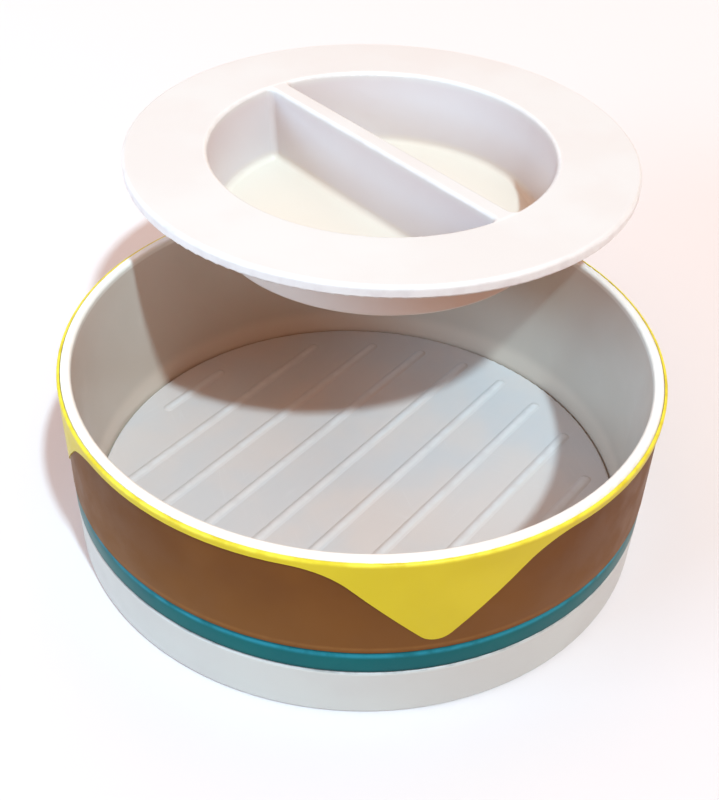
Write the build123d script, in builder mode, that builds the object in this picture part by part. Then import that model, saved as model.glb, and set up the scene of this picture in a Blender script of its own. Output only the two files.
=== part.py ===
"""Round layered food dish shaped like a burger, with a drop-in ribbed floor and a grip lid.

Units are millimetres.  +Z is up and -Y is the front.  The origin is the centre of the dish's
underside.  The lid is modelled as it stands when it is set down on the back of the rim.
"""
from build123d import *
import os
from math import cos, radians, sin

# ---- driving dimensions -------------------------------------------------------------------
rim_radius = 100.0            # outer radius of the dish just under its rim
dish_height = 66.6            # underside to top of rim
foot_radius = 98.8            # outer radius at the underside
bore_top_radius = 95.5        # inside of the dish at the rim
bore_floor_radius = 93.2      # inside of the dish at its floor
wall = 2.1                    # liner wall
sleeve_gap = 0.3              # radial room between the liner and the pieces round it
proud = 0.65                  # how far the cheese stands out from the patty

base_height = 19.4            # top of the bun base
lettuce_height = 28.6         # top of the lettuce ring
spigot_height = 1.5           # locating step between stacked rings
spigot_wall = 1.0
foot_groove_depth = 0.6       # shallow groove that parts the foot ring from the underside
foot_groove_width = 2.4
foot_ring_width = 8.0
foot_round = 2.0
base_shoulder_round = 1.0
base_floor = 2.2
liner_floor = 1.6
seat_gap = 0.1                # play under a piece that only rests on another

lettuce_shoulder_inset = 1.2  # top of the round shoulder inside the dish's outer line
lettuce_brow = 0.4            # short upright at the top of the shoulder
lettuce_belly_drop = 4.5      # how far down the shoulder reaches its full radius
lettuce_skirt = 0.9           # height and inset of the undercut at the ring's foot
lettuce_undercut = 0.7
patty_foot_bevel = 0.4

lip_height = 2.2              # rolled lip of the liner
lip_radius = 98.9
lip_round = 1.1
lip_clearance = 0.1           # radial play between the lip and the cheese round it
liner_floor_round = 0.4
liner_heel_round = 1.5
cheese_top_drop = 0.6         # top of the cheese below the rim
cheese_band = 3.2             # lower edge of the cheese between its corners, below the rim
cheese_apex = 35.7            # where the two straight edges of a corner would meet, below the rim
cheese_first_corner = 14.0    # azimuth of the front corner, degrees to the right of the front
cheese_tip_round = 6.5
cheese_root_round = 24.0
cheese_corners = 4
cheese_edge_round = 0.8

insert_gap = 0.55             # radial play round the ribbed insert
insert_thickness = 2.0
insert_edge_round = 0.8
rib_height = 0.6              # low ribs with a rounded crown
rib_width = 4.2
rib_pitch = 18.3
rib_angle = 54.25             # direction of the ribs from +X, degrees
rib_shift = -1.2              # how far the pattern sits off centre, across the ribs
rib_end_radius = 84.0
rib_count = 10

lid_x, lid_y = 4.0, 79.1      # axis of the lid where it stands on the rim
lid_stand_gap = 0.1
lid_radius = 94.5
flange_thickness = 4.6
crown_round = 1.4             # upper edges of the flange, the well and the grip
flange_under_round = 0.9
well_depth = 32.7             # flange top to underside of the well
well_mouth_radius = 64.2
well_wall = 2.3
well_foot_radius = 63.8
well_floor = 3.3
well_heel_round = 2.0
pocket_corner_round = 2.6
pocket_floor_round = 2.4
grip_angle = -49.0            # direction of the grip from +X, degrees
grip_thickness = 7.6
grip_slot = (104.0, 2.8, 21.0)   # hollow of the grip from below: length, width, depth
join = 1.0                    # how far the grip runs into the well wall

# ---- values that follow from them ---------------------------------------------------------
taper = (rim_radius - foot_radius) / dish_height
liner_floor_bottom = base_floor + seat_gap
liner_floor_top = liner_floor_bottom + liner_floor
insert_bottom = liner_floor_top + seat_gap
insert_radius = bore_floor_radius - insert_gap
bore_slope = (bore_top_radius - bore_floor_radius) / (dish_height - liner_floor_top)
lid_bottom = dish_height + lid_stand_gap
lid_top = lid_bottom + well_depth


def outer(z):
    """Radius of the dish's outer line at height z."""
    return foot_radius + taper * z


def bore(z):
    """Radius of the inside of the liner at height z."""
    return bore_floor_radius + bore_slope * (z - liner_floor_top)


def liner_skin(z):
    """Radius of the outside of the liner at height z."""
    return bore(z) + wall


# ---- bowl liner: the white inner bowl, with the lip that forms the rim ---------------------
with BuildPart() as bowl_liner:
    lip_bottom = dish_height - lip_height
    with BuildSketch(Plane.XZ):
        with BuildLine():
            Polyline(
                (0, liner_floor_bottom),
                (liner_skin(liner_floor_bottom), liner_floor_bottom),
                (liner_skin(lip_bottom), lip_bottom),
                (lip_radius, lip_bottom),
                (lip_radius, dish_height),
                (bore_top_radius, dish_height),
                (bore(liner_floor_top), liner_floor_top),
                (0, liner_floor_top),
                close=True,
            )
        make_face()
    revolve(axis=Axis.Z)
    rim_edges = bowl_liner.edges().filter_by(GeomType.CIRCLE).group_by(Axis.Z)[-1]
    fillet(rim_edges, lip_round)
    inside_corner = bowl_liner.edges().filter_by(GeomType.CIRCLE).filter_by_position(
        Axis.Z, liner_floor_top - 0.01, liner_floor_top + 0.01)
    fillet(inside_corner, liner_floor_round)
    heel = bowl_liner.edges().filter_by(GeomType.CIRCLE).group_by(Axis.Z)[0]
    fillet(heel, liner_heel_round)
bowl_liner.part.label = "bowl_liner"


# ---- ribbed insert: the loose floor disc, with raised ribs that stop short of its edge -----
rib_along = Vector(cos(radians(rib_angle)), sin(radians(rib_angle)), 0)
rib_across = Vector(-sin(radians(rib_angle)), cos(radians(rib_angle)), 0)

with BuildPart() as ribbed_insert:
    insert_top = insert_bottom + insert_thickness
    with BuildSketch(Plane.XY.offset(insert_bottom)):
        Circle(insert_radius)
    extrude(amount=insert_thickness)
    disc_edges = ribbed_insert.edges().filter_by(GeomType.CIRCLE)
    fillet(disc_edges.sort_by(Axis.Z)[-1], insert_edge_round)
    for number in range(rib_count):
        across = (number - (rib_count - 1) / 2) * rib_pitch
        reach = (rib_end_radius**2 - across**2) ** 0.5 - rib_width / 2
        middle = Vector(0, 0, insert_top) + rib_across * (across + rib_shift)
        near_end, far_end = middle - rib_along * reach, middle + rib_along * reach
        with BuildSketch(Plane(origin=near_end, x_dir=rib_across, z_dir=rib_along)):
            with BuildLine():
                crown_line = ThreePointArc((-rib_width / 2, 0), (0, rib_height), (rib_width / 2, 0))
                Line(crown_line @ 1, crown_line @ 0)
            make_face()
        extrude(amount=2 * reach)
        for end in (near_end, far_end):
            with BuildSketch(Plane(origin=end, x_dir=rib_across, z_dir=rib_along)):
                with BuildLine():
                    half_crown = ThreePointArc((-rib_width / 2, 0), (0, rib_height), (rib_width / 2, 0))
                    Line(half_crown @ 1, half_crown @ 0)
                make_face()
                split(bisect_by=Plane(origin=(0, 0, 0), z_dir=(1, 0, 0)))
            revolve(axis=Axis(end, (0, 0, 1)))
ribbed_insert.part.label = "ribbed_insert"


# ---- bun base: shallow white cup that carries everything, on a flat foot ring --------------
base_bore = liner_skin(base_height) + sleeve_gap
groove_outside = outer(0) - foot_ring_width
with BuildPart() as bun_base:
    with BuildSketch(Plane.XZ):
        with BuildLine():
            Polyline(
                (0, 0),
                (groove_outside - foot_groove_width, 0),
                (groove_outside - foot_groove_width / 2, foot_groove_depth),
                (groove_outside, 0),
                (outer(0), 0),
                (outer(base_height), base_height),
                (base_bore + spigot_wall, base_height),
                (base_bore + spigot_wall, base_height + spigot_height),
                (base_bore, base_height + spigot_height),
                (base_bore, base_floor),
                (0, base_floor),
                close=True,
            )
        make_face()
    revolve(axis=Axis.Z)
    outside = bun_base.faces().filter_by(GeomType.CONE).sort_by(SortBy.AREA)[-1]
    fillet(outside.edges().sort_by(Axis.Z)[-1], base_shoulder_round)
    foot_edges = bun_base.edges().filter_by(GeomType.CIRCLE).group_by(Axis.Z)[0]
    fillet(foot_edges.sort_by(SortBy.RADIUS)[-1], foot_round)
bun_base.part.label = "bun_base"


# ---- lettuce ring: narrow teal band with a full round shoulder -----------------------------
lettuce_bore = liner_skin(lettuce_height) + sleeve_gap
with BuildPart() as lettuce_ring:
    shoulder = outer(lettuce_height) - lettuce_shoulder_inset
    bulge = outer(base_height)
    with BuildSketch(Plane.XZ):
        with BuildLine():
            brow = Line((shoulder, lettuce_height), (shoulder, lettuce_height - lettuce_brow))
            belly = Bezier(
                brow @ 1,
                (bulge, lettuce_height - 2 * lettuce_brow),
                (bulge, lettuce_height - lettuce_belly_drop),
                (bulge, base_height + lettuce_skirt),
            )
            Polyline(
                belly @ 1,
                (bulge - lettuce_undercut, base_height),
                (base_bore + spigot_wall, base_height),
                (base_bore + spigot_wall, base_height + spigot_height),
                (lettuce_bore, base_height + spigot_height),
                (lettuce_bore, lettuce_height + spigot_height),
                (lettuce_bore + spigot_wall, lettuce_height + spigot_height),
                (lettuce_bore + spigot_wall, lettuce_height),
                brow @ 0,
            )
        make_face()
    revolve(axis=Axis.Z)
lettuce_ring.part.label = "lettuce_ring"


# ---- cheese layer and patty sleeve share one edge line -------------------------------------
def cheese_edge_cutter(above):
    """Four blocks, one a side, that take away all above or all below the cheese's edge line."""
    band = dish_height - cheese_band
    apex = dish_height - cheese_apex
    root = cheese_apex - cheese_band          # the corner's edges run at 45 degrees
    block_near, block_depth = 0.6 * rim_radius, 0.5 * rim_radius
    half_width = 0.78 * rim_radius
    limit = 1.2 * dish_height if above else -0.2 * dish_height
    with BuildPart() as cutter:
        for corner in range(cheese_corners):
            azimuth = radians(cheese_first_corner + corner * 360 / cheese_corners)
            outward = Vector(sin(azimuth), -cos(azimuth), 0)
            sideways = Vector(cos(azimuth), sin(azimuth), 0)
            with BuildSketch(Plane(origin=outward * block_near, x_dir=sideways, z_dir=outward)):
                with BuildLine():
                    edge = FilletPolyline(
                        (-half_width, band), (-root, band), (0, apex), (root, band), (half_width, band),
                        radius=[cheese_root_round, cheese_tip_round, cheese_root_round],
                    )
                    Polyline(edge @ 1, (half_width, limit), (-half_width, limit), edge @ 0)
                make_face()
            extrude(amount=block_depth)
    return cutter.part


sleeve_bore = liner_skin(dish_height - lip_height) + sleeve_gap
below_cheese = cheese_edge_cutter(above=False)
above_cheese = cheese_edge_cutter(above=True)

with BuildPart() as patty_sleeve:
    patty_top = dish_height - cheese_band
    with BuildSketch(Plane.XZ):
        with BuildLine():
            Polyline(
                (lettuce_bore + spigot_wall, lettuce_height),
                (outer(lettuce_height) - patty_foot_bevel, lettuce_height),
                (outer(lettuce_height), lettuce_height + patty_foot_bevel),
                (outer(patty_top) - proud, patty_top),
                (sleeve_bore, patty_top),
                (sleeve_bore, lettuce_height + spigot_height),
                (lettuce_bore + spigot_wall, lettuce_height + spigot_height),
                close=True,
            )
        make_face()
    revolve(axis=Axis.Z)
    add(above_cheese, mode=Mode.SUBTRACT)
patty_sleeve.part.label = "patty_sleeve"

with BuildPart() as cheese_layer:
    cheese_top = dish_height - cheese_top_drop
    cheese_low = dish_height - cheese_apex
    with BuildSketch(Plane.XZ):
        with BuildLine():
            Polyline(
                (sleeve_bore, cheese_low),
                (outer(cheese_low) + proud / 2, cheese_low),
                (rim_radius, cheese_top),
                (lip_radius + lip_clearance, cheese_top),
                (lip_radius + lip_clearance, dish_height - lip_height),
                (sleeve_bore, dish_height - lip_height),
                close=True,
            )
        make_face()
    revolve(axis=Axis.Z)
    top_edges = cheese_layer.edges().filter_by(GeomType.CIRCLE).group_by(Axis.Z)[-1]
    fillet(top_edges.sort_by(SortBy.RADIUS)[-1], cheese_edge_round)
    add(below_cheese, mode=Mode.SUBTRACT)
cheese_layer.part.label = "cheese_layer"


# ---- lid: flat flange, deep well and the wall across it that serves as the grip ------------
lid_axis = Axis((lid_x, lid_y, 0), (0, 0, 1))
grip_dir = Vector(cos(radians(grip_angle)), sin(radians(grip_angle)), 0)
grip_side = Vector(sin(radians(grip_angle)), -cos(radians(grip_angle)), 0)
grip_plane = Plane(origin=(lid_x, lid_y, 0), x_dir=grip_dir, z_dir=grip_side)

with BuildPart() as lid:
    flange_bottom = lid_top - flange_thickness
    pocket_floor = lid_bottom + well_floor
    well_inner_foot = well_foot_radius - well_wall
    with BuildSketch(grip_plane):
        with BuildLine():
            Polyline(
                (0, lid_bottom),
                (well_foot_radius, lid_bottom),
                (well_mouth_radius + well_wall, flange_bottom),
                (lid_radius, flange_bottom),
                (lid_radius, lid_top),
                (well_mouth_radius, lid_top),
                (well_inner_foot, pocket_floor),
                (0, pocket_floor),
                close=True,
            )
        make_face()
    revolve(axis=lid_axis)
    with BuildSketch(grip_plane):
        with BuildLine():
            Polyline(
                (-well_mouth_radius - join, lid_top),
                (well_mouth_radius + join, lid_top),
                (well_inner_foot + join, pocket_floor),
                (-well_inner_foot - join, pocket_floor),
                close=True,
            )
        make_face()
    extrude(amount=grip_thickness / 2, both=True)

    upright = lid.edges().filter_by(
        lambda e: pocket_floor + join < e.center().Z < lid_top - join
        and (e.center() - Vector(lid_x, lid_y, e.center().Z)).length < well_mouth_radius)
    fillet(upright, pocket_corner_round)
    floors = lid.faces().filter_by(Plane.XY).filter_by_position(
        Axis.Z, pocket_floor - 0.01, pocket_floor + 0.01)
    fillet(floors.edges(), pocket_floor_round)
    crown = lid.faces().filter_by(Plane.XY).sort_by(Axis.Z)[-1]
    fillet(crown.edges(), crown_round)
    underside = lid.faces().filter_by(Plane.XY).sort_by(Axis.Z)[0]
    fillet(underside.edges(), well_heel_round)
    flange_under = lid.faces().filter_by(Plane.XY).filter_by_position(
        Axis.Z, flange_bottom - 0.01, flange_bottom + 0.01)
    fillet(flange_under.edges(), flange_under_round)
    slot_length, slot_width, slot_depth = grip_slot
    slot_plane = Plane(origin=(lid_x, lid_y, lid_bottom), x_dir=grip_dir, z_dir=(0, 0, 1))
    with BuildSketch(slot_plane):
        SlotOverall(slot_length, slot_width)
    extrude(amount=slot_depth, mode=Mode.SUBTRACT)
lid.part.label = "lid"


# ---- files ---------------------------------------------------------------------------------
os.makedirs("parts", exist_ok=True)
for piece in (bowl_liner, ribbed_insert, bun_base, lettuce_ring, patty_sleeve, cheese_layer, lid):
    export_step(piece.part, f"parts/{piece.part.label}.step")
    print(piece.part.label, len(piece.part.solids()), round(piece.part.volume))
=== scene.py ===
"""Looks for the burger-coloured lidded dish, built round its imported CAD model.

Metres, in the CAD frame: +Z up, -Y the front, origin at the centre of the dish's underside.
"""
import math

import bpy
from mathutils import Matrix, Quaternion, Vector


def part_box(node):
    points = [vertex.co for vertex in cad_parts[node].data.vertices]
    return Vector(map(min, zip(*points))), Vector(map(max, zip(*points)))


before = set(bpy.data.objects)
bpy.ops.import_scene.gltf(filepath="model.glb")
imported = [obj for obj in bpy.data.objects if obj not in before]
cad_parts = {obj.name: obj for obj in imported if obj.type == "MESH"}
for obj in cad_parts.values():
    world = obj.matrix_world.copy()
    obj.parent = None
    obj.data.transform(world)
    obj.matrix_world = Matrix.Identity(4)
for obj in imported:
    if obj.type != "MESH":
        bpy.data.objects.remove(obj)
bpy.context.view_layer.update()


# ---- places taken from the frame -----------------------------------------------------------
cheese_low, cheese_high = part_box("cheese_layer")
lid_low, lid_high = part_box("lid")
patty_low, patty_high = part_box("patty_sleeve")
liner_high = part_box("bowl_liner")[1]
insert_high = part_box("ribbed_insert")[1]
lettuce_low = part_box("lettuce_ring")[0]

rim_radius = (cheese_high.x - cheese_low.x) / 2
rim_top = liner_high.z
rim_centre = Vector((0, 0, rim_top))
lid_centre = (lid_low + lid_high) / 2
lid_radius = (lid_high.x - lid_low.x) / 2


# ---- camera --------------------------------------------------------------------------------
CAMERA_FROM_RIM = Vector((-0.0058, -3.196, 2.329))   # in rim radii, from the centre of the rim
CAMERA_ELEVATION = 38.81
CAMERA_ROLL = 2.35
SENSOR = 36.0
FOCAL_SHARE = 1.485            # focal length over the picture's long side
CLIP = (0.01, 50)


def make_camera():
    data = bpy.data.cameras.new("camera")
    data.sensor_width = SENSOR
    data.lens = SENSOR * FOCAL_SHARE
    data.clip_start, data.clip_end = CLIP
    camera = bpy.data.objects.new("camera", data)
    bpy.context.scene.collection.objects.link(camera)
    tilt = math.radians(CAMERA_ELEVATION)
    forward = Vector((0, math.cos(tilt), -math.sin(tilt)))
    level = forward.to_track_quat("-Z", "Y")
    camera.rotation_mode = "QUATERNION"
    camera.rotation_quaternion = level @ Quaternion((0, 0, 1), math.radians(CAMERA_ROLL))
    camera.location = rim_centre + CAMERA_FROM_RIM * rim_radius
    bpy.context.scene.camera = camera


# ---- light and floor -----------------------------------------------------------------------
MIX_FACTOR, MIX_FIRST, MIX_SECOND = 0, 6, 7   # sockets of a Mix node that mixes colours
MIX_RESULT = 2

KEY_FROM = Vector((0.277, -0.475, 0.835))   # a distant lamp in front, high, a little to the right
KEY_STRENGTH = 3.2
KEY_COLOUR = (0.58, 0.82, 0.95)
KEY_ANGLE = 3.0                # degrees across, which softens its shadows
WINDOW_FROM = Vector((-0.80, -0.46, 0.42)).normalized()   # low on the left
WINDOW_DISTANCE = 1.5
WINDOW_SIZE = (0.9, 0.5)
WINDOW_POWER = 16.0
WINDOW_COLOUR = (0.36, 0.72, 1.0)
SOFTBOX_FROM = Vector((0.05, 0.74, 0.67)).normalized()   # behind and above
SOFTBOX_DISTANCE = 1.4
SOFTBOX_SIZE = (1.6, 0.7)
SOFTBOX_POWER = 2.2
SOFTBOX_COLOUR = (0.80, 0.96, 1.0)
SKY_LOW = (0.64, 0.21, 0.06)
SKY_HIGH = (1.05, 0.85, 0.70)
SKY_LOW_HEIGHT = 0.6           # sine of the height up to which the sky has its low colour
BACKDROP_COLOUR = (0.90, 0.89, 0.88)
FLOOR_COLOUR = (0.76, 0.72, 0.71)
FLOOR_REACH = 12               # in rim radii, from the middle to each side
FLOOR_ROUGHNESS = 0.9
FLOOR_SPECULAR = 0.2


def place_lamp(name, data, direction, distance=0.0):
    """A lamp that shines from that direction at the middle of the dish."""
    lamp = bpy.data.objects.new(name, data)
    lamp.rotation_mode = "QUATERNION"
    lamp.rotation_quaternion = direction.to_track_quat("Z", "Y")
    lamp.location = direction * distance
    bpy.context.scene.collection.objects.link(lamp)


def make_panel(name, direction, distance, size, power, colour):
    """A soft rectangular light."""
    panel = bpy.data.lights.new(name, "AREA")
    panel.shape = "RECTANGLE"
    panel.size, panel.size_y = size
    panel.energy = power
    panel.color = colour
    place_lamp(name, panel, direction, distance)


def make_lights():
    key = bpy.data.lights.new("key", "SUN")
    key.energy = KEY_STRENGTH
    key.color = KEY_COLOUR
    key.angle = math.radians(KEY_ANGLE)
    place_lamp("key", key, KEY_FROM)
    make_panel("window", WINDOW_FROM, WINDOW_DISTANCE, WINDOW_SIZE, WINDOW_POWER, WINDOW_COLOUR)
    make_panel("softbox", SOFTBOX_FROM, SOFTBOX_DISTANCE, SOFTBOX_SIZE, SOFTBOX_POWER, SOFTBOX_COLOUR)


def make_sky():
    """A dim warm room, paler straight overhead, with a plain pale backdrop behind the floor."""
    world = bpy.data.worlds.new("studio")
    bpy.context.scene.world = world
    world.use_nodes = True
    nodes, links = world.node_tree.nodes, world.node_tree.links
    coordinate = nodes.new("ShaderNodeTexCoord")
    split = nodes.new("ShaderNodeSeparateXYZ")
    ramp = nodes.new("ShaderNodeValToRGB")
    ramp.color_ramp.elements[0].position = SKY_LOW_HEIGHT
    ramp.color_ramp.elements[0].color = (*SKY_LOW, 1)
    ramp.color_ramp.elements[1].position = 1.0
    ramp.color_ramp.elements[1].color = (*SKY_HIGH, 1)
    seen = nodes.new("ShaderNodeLightPath")
    backdrop = nodes.new("ShaderNodeMix")
    backdrop.data_type = "RGBA"
    backdrop.inputs[MIX_SECOND].default_value = (*BACKDROP_COLOUR, 1)
    links.new(coordinate.outputs["Generated"], split.inputs[0])
    links.new(split.outputs["Z"], ramp.inputs[0])
    links.new(seen.outputs["Is Camera Ray"], backdrop.inputs[MIX_FACTOR])
    links.new(ramp.outputs[0], backdrop.inputs[MIX_FIRST])
    links.new(backdrop.outputs[MIX_RESULT], nodes["Background"].inputs["Color"])


def make_floor():
    reach = FLOOR_REACH * rim_radius
    mesh = bpy.data.meshes.new("floor")
    corners = [(-reach, -reach, 0), (reach, -reach, 0), (reach, reach, 0), (-reach, reach, 0)]
    mesh.from_pydata(corners, [], [(0, 1, 2, 3)])
    floor = bpy.data.objects.new("floor", mesh)
    bpy.context.scene.collection.objects.link(floor)
    material = bpy.data.materials.new("floor")
    material.use_nodes = True
    shader = material.node_tree.nodes["Principled BSDF"]
    shader.inputs["Base Color"].default_value = (*FLOOR_COLOUR, 1)
    shader.inputs["Roughness"].default_value = FLOOR_ROUGHNESS
    shader.inputs["Specular IOR Level"].default_value = FLOOR_SPECULAR
    mesh.materials.append(material)


# ---- small node helpers --------------------------------------------------------------------
MM = 0.001
LEVEL = (0.8, 0.95)            # upward parts of a normal between which a surface passes for level

SCRATCH_TURNS = (17, 71, 128)  # directions in which scratches run, degrees
SCRATCH_LENGTH = 70 * MM
SCRATCH_GAP = 1.6 * MM
SCRATCH_LEVEL = 0.5            # a scratch runs where its noise field has this value,
SCRATCH_WIDTH = 0.02           # give or take this much
SCRATCH_PATCH = 8 * SCRATCH_GAP
SCRATCH_PATCH_STRETCH = (2, 1, 1)
SCRATCH_PATCH_TURN = 20
SCRATCH_PATCH_RANGE = (0.55, 0.65)

SPECK_COLOUR = (0.10, 0.05, 0.03)
SPECK_SPACING = 14 * MM
SPECK_RADIUS = 0.42 * MM


def add_node(tree, kind, inputs=None, **settings):
    """A new node; each input is a plain value or another node's output."""
    node = tree.nodes.new(kind)
    for name, value in settings.items():
        setattr(node, name, value)
    for name, value in (inputs or {}).items():
        if isinstance(value, bpy.types.NodeSocket):
            tree.links.new(value, node.inputs[name])
        else:
            node.inputs[name].default_value = value
    return node


def math_node(tree, operation, *values):
    return add_node(tree, "ShaderNodeMath", dict(enumerate(values)), operation=operation).outputs[0]


def spread(tree, value, low, high, to_low=0.0, to_high=1.0):
    """Value carried smoothly from low..high to to_low..to_high, and held at the ends."""
    inputs = {"Value": value, "From Min": low, "From Max": high, "To Min": to_low, "To Max": to_high}
    node = add_node(tree, "ShaderNodeMapRange", inputs, interpolation_type="SMOOTHSTEP")
    return node.outputs["Result"]


def mix_colour(tree, factor, first, second):
    """First where the factor is 0, second where it is 1."""
    node = add_node(tree, "ShaderNodeMix", data_type="RGBA")
    for index, value in ((MIX_FACTOR, factor), (MIX_FIRST, first), (MIX_SECOND, second)):
        if isinstance(value, bpy.types.NodeSocket):
            tree.links.new(value, node.inputs[index])
        elif isinstance(value, tuple):
            node.inputs[index].default_value = (*value, 1)
        else:
            node.inputs[index].default_value = value
    return node.outputs[MIX_RESULT]


def noise(tree, place, size, detail=2.0, stretch=(1, 1, 1), turn=0.0):
    """Noise whose features are about size metres across, drawn out along an axis by stretch."""
    rotation = (0, 0, math.radians(turn))
    mapping = add_node(tree, "ShaderNodeMapping", {"Vector": place, "Rotation": rotation})
    shrink = [1 / s for s in stretch]
    factors = {0: mapping.outputs[0], 1: shrink}
    squeeze = add_node(tree, "ShaderNodeVectorMath", factors, operation="MULTIPLY")
    inputs = {"Vector": squeeze.outputs[0], "Scale": 1 / size, "Detail": detail}
    return add_node(tree, "ShaderNodeTexNoise", inputs).outputs["Fac"]


def height(tree, place):
    """The third part of a vector or a colour."""
    return add_node(tree, "ShaderNodeSeparateXYZ", {0: place}).outputs["Z"]


def distance_from_axis(tree, place, centre):
    """Level distance from the upright axis through that point."""
    kind = "ShaderNodeVectorMath"
    shifted = add_node(tree, kind, {0: place, 1: (-centre.x, -centre.y, 0)}, operation="ADD")
    flat = add_node(tree, kind, {0: shifted.outputs[0], 1: (1, 1, 0)}, operation="MULTIPLY")
    return add_node(tree, kind, {0: flat.outputs[0]}, operation="LENGTH").outputs["Value"]


def near(tree, value, where, reach):
    """1 where the value is at that place, falling to 0 at a distance of reach."""
    off = math_node(tree, "ABSOLUTE", math_node(tree, "SUBTRACT", value, where))
    return spread(tree, off, 0, reach, 1, 0)


def either(tree, masks):
    """The strongest of the masks."""
    result = masks[0]
    for mask in masks[1:]:
        result = math_node(tree, "MAXIMUM", result, mask)
    return result


def facing_up(tree):
    """1 on level surfaces, 0 on walls."""
    normal = add_node(tree, "ShaderNodeNewGeometry").outputs["Normal"]
    return spread(tree, height(tree, normal), *LEVEL)


def hairlines(tree, place, turn):
    """Fine scratches that run one way, broken up so that they start and stop."""
    field = noise(tree, place, SCRATCH_GAP, 0.0, (SCRATCH_LENGTH / SCRATCH_GAP, 1, 1), turn)
    line = near(tree, field, SCRATCH_LEVEL, SCRATCH_WIDTH)
    patch_field = noise(tree, place, SCRATCH_PATCH, 1.0, SCRATCH_PATCH_STRETCH, turn + SCRATCH_PATCH_TURN)
    return math_node(tree, "MULTIPLY", line, spread(tree, patch_field, *SCRATCH_PATCH_RANGE))


def specks(tree, place, share):
    """Tiny round marks, in that share of the cells of a random pattern."""
    cells = add_node(tree, "ShaderNodeTexVoronoi", {"Vector": place, "Scale": 1 / SPECK_SPACING})
    inside = math_node(tree, "LESS_THAN", cells.outputs["Distance"], SPECK_RADIUS / SPECK_SPACING)
    chosen = math_node(tree, "GREATER_THAN", height(tree, cells.outputs["Color"]), 1 - share)
    return math_node(tree, "MULTIPLY", inside, chosen)


# ---- moulded plastic -----------------------------------------------------------------------
CLOUD_SIZE = 38 * MM           # broad clouding of the colour
CLOUD_RANGE = (0.35, 0.65)
DULL_SIZE = 13 * MM            # patches of more and less gloss
DULL_RANGE = (0.3, 0.7)
GRAIN_SIZE = 1.1 * MM
WAVE_SIZE = 17 * MM            # the slow unevenness of a moulded face
WAVE_DEPTH = 0.03 * MM
WEAR_SIZE = 6 * MM             # patches along a rubbed edge
WEAR_RANGE = (0.30, 0.60)
WEAR_LEAST = 0.35
WEAR_DULLING = 0.10
SCRATCH_DEPTH = 0.003 * MM
SCRATCH_DULLING = 0.15
SCRATCH_GAIN = 1.25            # a scratch is this many times as bright as the plastic,
SCRATCH_LIFT = 0.03            # and this much more


def scratch_colour(colour):
    """What a scratch shows in plastic of that colour."""
    return tuple(min(1, SCRATCH_GAIN * part + SCRATCH_LIFT) for part in colour)


def plastic(name, colour, cloud, edge, edge_masks, tints=None, gloss=(0.30, 0.38), specular=0.4,
            scratch=0.0, speck_share=0.0, grain=0.003 * MM):
    """Moulded plastic: clouded colour, edges painted lighter (rubbing, and on some pieces a painted
    highlight), scratches, dust specks and a fine moulded skin.

    edge_masks and tints are functions of the tree and the place: edge_masks gives the masks of the edges
    that are painted lighter, by rubbing and, on the lid, the cheese and the lettuce, as a painted
    highlight, and tints gives (mask, colour) pairs laid over the clouded colour, among them painted shade
    and painted light. gloss is the range of the roughness, scratch the strength of the scratches, and grain
    the skin's depth.
    The roughness stays over 0.28, because patches that cross 0.27 get hard outlines when denoised.
    """
    material = bpy.data.materials.new(name)
    material.use_nodes = True
    tree = material.node_tree
    shader = tree.nodes["Principled BSDF"]
    place = add_node(tree, "ShaderNodeTexCoord").outputs["Object"]

    broad = noise(tree, place, CLOUD_SIZE, 3.0)
    surface = mix_colour(tree, spread(tree, broad, *CLOUD_RANGE), colour, cloud)
    for mask, tint in (tints(tree, place) if tints else ()):
        surface = mix_colour(tree, mask, surface, tint)
    dulled = spread(tree, noise(tree, place, DULL_SIZE, 4.0), *DULL_RANGE, *gloss)
    grained = math_node(tree, "MULTIPLY", noise(tree, place, GRAIN_SIZE, 2.0), grain)
    waved = math_node(tree, "MULTIPLY", noise(tree, place, WAVE_SIZE, 1.0), WAVE_DEPTH)
    skin = math_node(tree, "ADD", grained, waved)

    if scratch:
        marks = [hairlines(tree, place, turn) for turn in SCRATCH_TURNS]
        scratches = math_node(tree, "MULTIPLY", either(tree, marks), facing_up(tree))
        amount = math_node(tree, "MULTIPLY", scratches, scratch)
        surface = mix_colour(tree, amount, surface, scratch_colour(colour))
        dulling = math_node(tree, "MULTIPLY", scratches, SCRATCH_DULLING)
        dulled = math_node(tree, "ADD", dulled, dulling)
        cut = math_node(tree, "MULTIPLY", scratches, SCRATCH_DEPTH)
        skin = math_node(tree, "SUBTRACT", skin, cut)

    # Edges painted lighter: rubbing, and a painted highlight on the lid, the cheese and the lettuce.
    rub_and_highlight_mask = either(tree, edge_masks(tree, place))
    patchy = spread(tree, noise(tree, place, WEAR_SIZE, 4.0), *WEAR_RANGE, WEAR_LEAST, 1.0)
    edge_wear_and_highlight = math_node(tree, "MULTIPLY", rub_and_highlight_mask, patchy)
    surface = mix_colour(tree, edge_wear_and_highlight, surface, edge)
    dulled = math_node(tree, "ADD", dulled, math_node(tree, "MULTIPLY", edge_wear_and_highlight, WEAR_DULLING))
    if speck_share:
        surface = mix_colour(tree, specks(tree, place, speck_share), surface, SPECK_COLOUR)
    bump = add_node(tree, "ShaderNodeBump", {"Height": skin, "Strength": 1.0, "Distance": 1.0})

    tree.links.new(surface, shader.inputs["Base Color"])
    tree.links.new(dulled, shader.inputs["Roughness"])
    tree.links.new(bump.outputs[0], shader.inputs["Normal"])
    shader.inputs["Specular IOR Level"].default_value = specular
    return material


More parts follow.
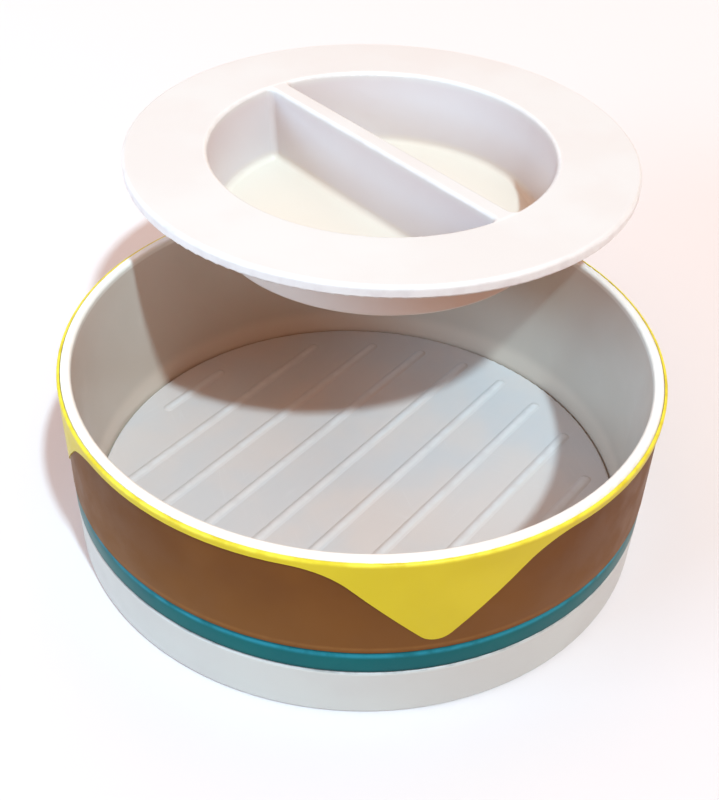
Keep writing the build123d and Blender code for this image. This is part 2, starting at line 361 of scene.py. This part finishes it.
# ---- where each piece is tinted, painted with light and shade, and lighter at its edges -----
GRIP_ANGLE = -49.0             # direction of the grip from +X
GRIP_EDGE = 3.4 * MM           # from the grip's middle to its rubbed edges
WELL_MOUTH = 64.8 * MM         # radius of the well's mouth, on its rounded edge
WELL_SKIN = 62.4 * MM          # radius just inside the well's outer face, at its foot
WELL_TAPER = 0.096             # how fast that face widens with height
FLANGE_UNDERSIDE = lid_high.z - 4.6 * MM
LIP_DEPTH = 2.6 * MM
SEAM_LOW = lettuce_low.z       # between the base and the lettuce
SEAM_HIGH = patty_low.z        # between the lettuce and the patty

# Painted light and shade on the lid: shade on the well's wall, a warm glow on the well's floor and on its
# outside.
WELL_WALL_SHADE = (0.66, 0.60, 0.61)
WELL_FLOOR_PAINTED_GLOW = (0.78, 0.735, 0.645)
WELL_OUTSIDE_PAINTED_GLOW = (0.76, 0.68, 0.61)
# Painted light and shade on the liner: warm shade low on its wall, bounce light at the wall's foot, a glow
# on the lip.
WALL_LOW_PAINTED_SHADE = (0.56, 0.465, 0.38)
WALL_FOOT_PAINTED_BOUNCE = (0.68, 0.57, 0.47)
LIP_PAINTED_GLOW = (0.80, 0.79, 0.72)
# The base's, lettuce's and patty's seam colours are painted shade in the seams between the pieces.
BASE_SEAM_PAINTED_SHADE = (0.16, 0.17, 0.16)
LETTUCE_SEAM_PAINTED_SHADE = (0.001, 0.018, 0.022)
PATTY_GOLD = (0.172, 0.071, 0.016)
PATTY_SEAM_PAINTED_SHADE = (0.035, 0.015, 0.006)


def lid_worn_and_highlit_edges(tree, place):
    """The flange's outer edge, the mouth of the well and the two edges of the grip, painted lighter: partly
    rubbing, partly a painted highlight.
    """
    out = distance_from_axis(tree, place, lid_centre)
    top = spread(tree, height(tree, place), lid_high.z - 2.5 * MM, lid_high.z - 0.8 * MM)
    angle = math.radians(GRIP_ANGLE)
    side = (math.sin(angle), -math.cos(angle), 0)
    across = add_node(tree, "ShaderNodeVectorMath", {0: place, 1: side}, operation="DOT_PRODUCT")
    middle = lid_centre.x * math.sin(angle) - lid_centre.y * math.cos(angle)
    offset = math_node(tree, "ABSOLUTE", math_node(tree, "SUBTRACT", across.outputs["Value"], middle))
    inside = spread(tree, out, WELL_MOUTH, WELL_MOUTH + 1 * MM, 1, 0)
    grip = math_node(tree, "MULTIPLY", near(tree, offset, GRIP_EDGE, 1.0 * MM), inside)
    mouth = math_node(tree, "MULTIPLY", near(tree, out, WELL_MOUTH, 1.2 * MM), top)
    return [near(tree, out, lid_radius, 1.6 * MM), mouth, math_node(tree, "MULTIPLY", grip, top)]


def lid_tints(tree, place):
    """Painted shade on the well's wall, a painted warm glow on its floor and a painted warm glow on its
    outside.
    """
    up = height(tree, place)
    wall = spread(tree, up, lid_high.z - 4 * MM, lid_high.z - 0.5 * MM, 0.7, 0)
    deep = spread(tree, up, lid_low.z + 3 * MM, lid_low.z + 8 * MM, 1, 0)
    out = distance_from_axis(tree, place, lid_centre)
    widening = math_node(tree, "MULTIPLY", math_node(tree, "SUBTRACT", up, lid_low.z), WELL_TAPER)
    foot_radius = math_node(tree, "SUBTRACT", out, widening)
    beyond = spread(tree, foot_radius, WELL_SKIN, WELL_SKIN + 0.6 * MM)
    below = spread(tree, up, FLANGE_UNDERSIDE - 1.5 * MM, FLANGE_UNDERSIDE, 1, 0)
    outside = math_node(tree, "MULTIPLY", beyond, below)
    return [(wall, WELL_WALL_SHADE), (deep, WELL_FLOOR_PAINTED_GLOW), (outside, WELL_OUTSIDE_PAINTED_GLOW)]


def liner_edges(tree, place):
    """The top of the lip."""
    return [near(tree, height(tree, place), liner_high.z, 1.0 * MM)]


def liner_tints(tree, place):
    """The wall is painted warmer and darker low down as painted shade, with painted bounce light at its
    foot, and the lip is painted lighter as a painted glow.
    """
    up = height(tree, place)
    low = spread(tree, up, insert_high.z + 4 * MM, liner_high.z - 12 * MM, 0.8, 0)
    foot = spread(tree, up, insert_high.z + 5 * MM, insert_high.z + 11 * MM, 0.9, 0)
    lip = spread(tree, up, liner_high.z - LIP_DEPTH, liner_high.z - 0.6 * LIP_DEPTH)
    return [(low, WALL_LOW_PAINTED_SHADE), (foot, WALL_FOOT_PAINTED_BOUNCE), (lip, LIP_PAINTED_GLOW)]


def insert_edges(tree, place):
    """The rim of the disc and the crowns of the ribs."""
    crowns = spread(tree, height(tree, place), insert_high.z - 0.35 * MM, insert_high.z)
    out = distance_from_axis(tree, place, Vector((0, 0, 0)))
    return [crowns, near(tree, out, insert_high.x, 1.0 * MM)]


def base_edges(tree, place):
    """The foot and the shoulder."""
    up = height(tree, place)
    return [near(tree, up, 0, 2.2 * MM), near(tree, up, SEAM_LOW, 1.0 * MM)]


def base_tints(tree, place):
    """Painted shade in the seam under the lettuce."""
    seam = spread(tree, height(tree, place), SEAM_LOW - 0.7 * MM, SEAM_LOW - 0.1 * MM)
    return [(seam, BASE_SEAM_PAINTED_SHADE)]


def lettuce_painted_highlight(tree, place):
    """A painted highlight along the shoulder."""
    return [near(tree, height(tree, place), SEAM_HIGH - 1.6 * MM, 1.3 * MM)]


def lettuce_tints(tree, place):
    """Painted shade in the seams above and below."""
    up = height(tree, place)
    seams = [near(tree, up, SEAM_LOW, 2.4 * MM), near(tree, up, SEAM_HIGH, 0.5 * MM)]
    return [(either(tree, seams), LETTUCE_SEAM_PAINTED_SHADE)]


def patty_edges(tree, place):
    """Just above the seam over the lettuce."""
    return [near(tree, height(tree, place), SEAM_HIGH + 2 * MM, 1.0 * MM)]


def patty_tints(tree, place):
    """More golden low down, with painted shade in the seam over the lettuce."""
    up = height(tree, place)
    golden = spread(tree, up, SEAM_HIGH, patty_high.z, 0.6, 0)
    seam = near(tree, up, SEAM_HIGH, 0.9 * MM)
    return [(golden, PATTY_GOLD), (seam, PATTY_SEAM_PAINTED_SHADE)]


def cheese_worn_and_highlit_edge(tree, place):
    """The upper edge of the band, painted lighter: partly rubbing, partly a painted highlight."""
    return [near(tree, height(tree, place), cheese_high.z, 1.4 * MM)]


# ---- the look of each piece ----------------------------------------------------------------
LOOKS = {
    # The liner's colour and cloud are warmed and darkened as painted shade of the bowl's inside.
    "bowl_liner": dict(
        name="liner", colour=(0.62, 0.56, 0.49), cloud=(0.59, 0.53, 0.455), edge=(0.86, 0.85, 0.80),
        edge_masks=liner_edges, tints=liner_tints, speck_share=0.02),
    "ribbed_insert": dict(
        name="insert", colour=(0.60, 0.57, 0.56), cloud=(0.66, 0.58, 0.54), edge=(0.70, 0.66, 0.64),
        edge_masks=insert_edges, gloss=(0.31, 0.42), scratch=0.12, speck_share=0.03),
    "bun_base": dict(
        name="base", colour=(0.50, 0.515, 0.48), cloud=(0.48, 0.485, 0.455), edge=(0.58, 0.59, 0.565),
        edge_masks=base_edges, tints=base_tints, speck_share=0.01),
    "lid": dict(
        name="lid", colour=(0.71, 0.725, 0.705), cloud=(0.70, 0.695, 0.67), edge=(0.79, 0.79, 0.77),
        edge_masks=lid_worn_and_highlit_edges, tints=lid_tints, gloss=(0.30, 0.37), scratch=0.04, speck_share=0.03),
    # The lettuce's edge colour is a painted highlight along its shoulder.
    "lettuce_ring": dict(
        name="lettuce", colour=(0.001, 0.105, 0.105), cloud=(0.002, 0.090, 0.098), edge=(0.015, 0.20, 0.26),
        edge_masks=lettuce_painted_highlight, tints=lettuce_tints, gloss=(0.29, 0.34), specular=0.12),
    "patty_sleeve": dict(
        name="patty", colour=(0.142, 0.051, 0.008), cloud=(0.115, 0.040, 0.007), edge=(0.20, 0.085, 0.022),
        edge_masks=patty_edges, tints=patty_tints, gloss=(0.38, 0.52), specular=0.09, grain=0.006 * MM),
    "cheese_layer": dict(
        name="cheese", colour=(0.57, 0.46, 0.013), cloud=(0.53, 0.42, 0.010), edge=(0.80, 0.70, 0.06),
        edge_masks=cheese_worn_and_highlit_edge, gloss=(0.30, 0.40), specular=0.2),
}


def paint_pieces():
    for node, look in LOOKS.items():
        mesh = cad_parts[node].data
        mesh.materials.clear()
        mesh.materials.append(plastic(**look))


make_camera()
make_lights()
make_sky()
make_floor()
paint_pieces()

bpy.context.scene.view_settings.view_transform = "Standard"
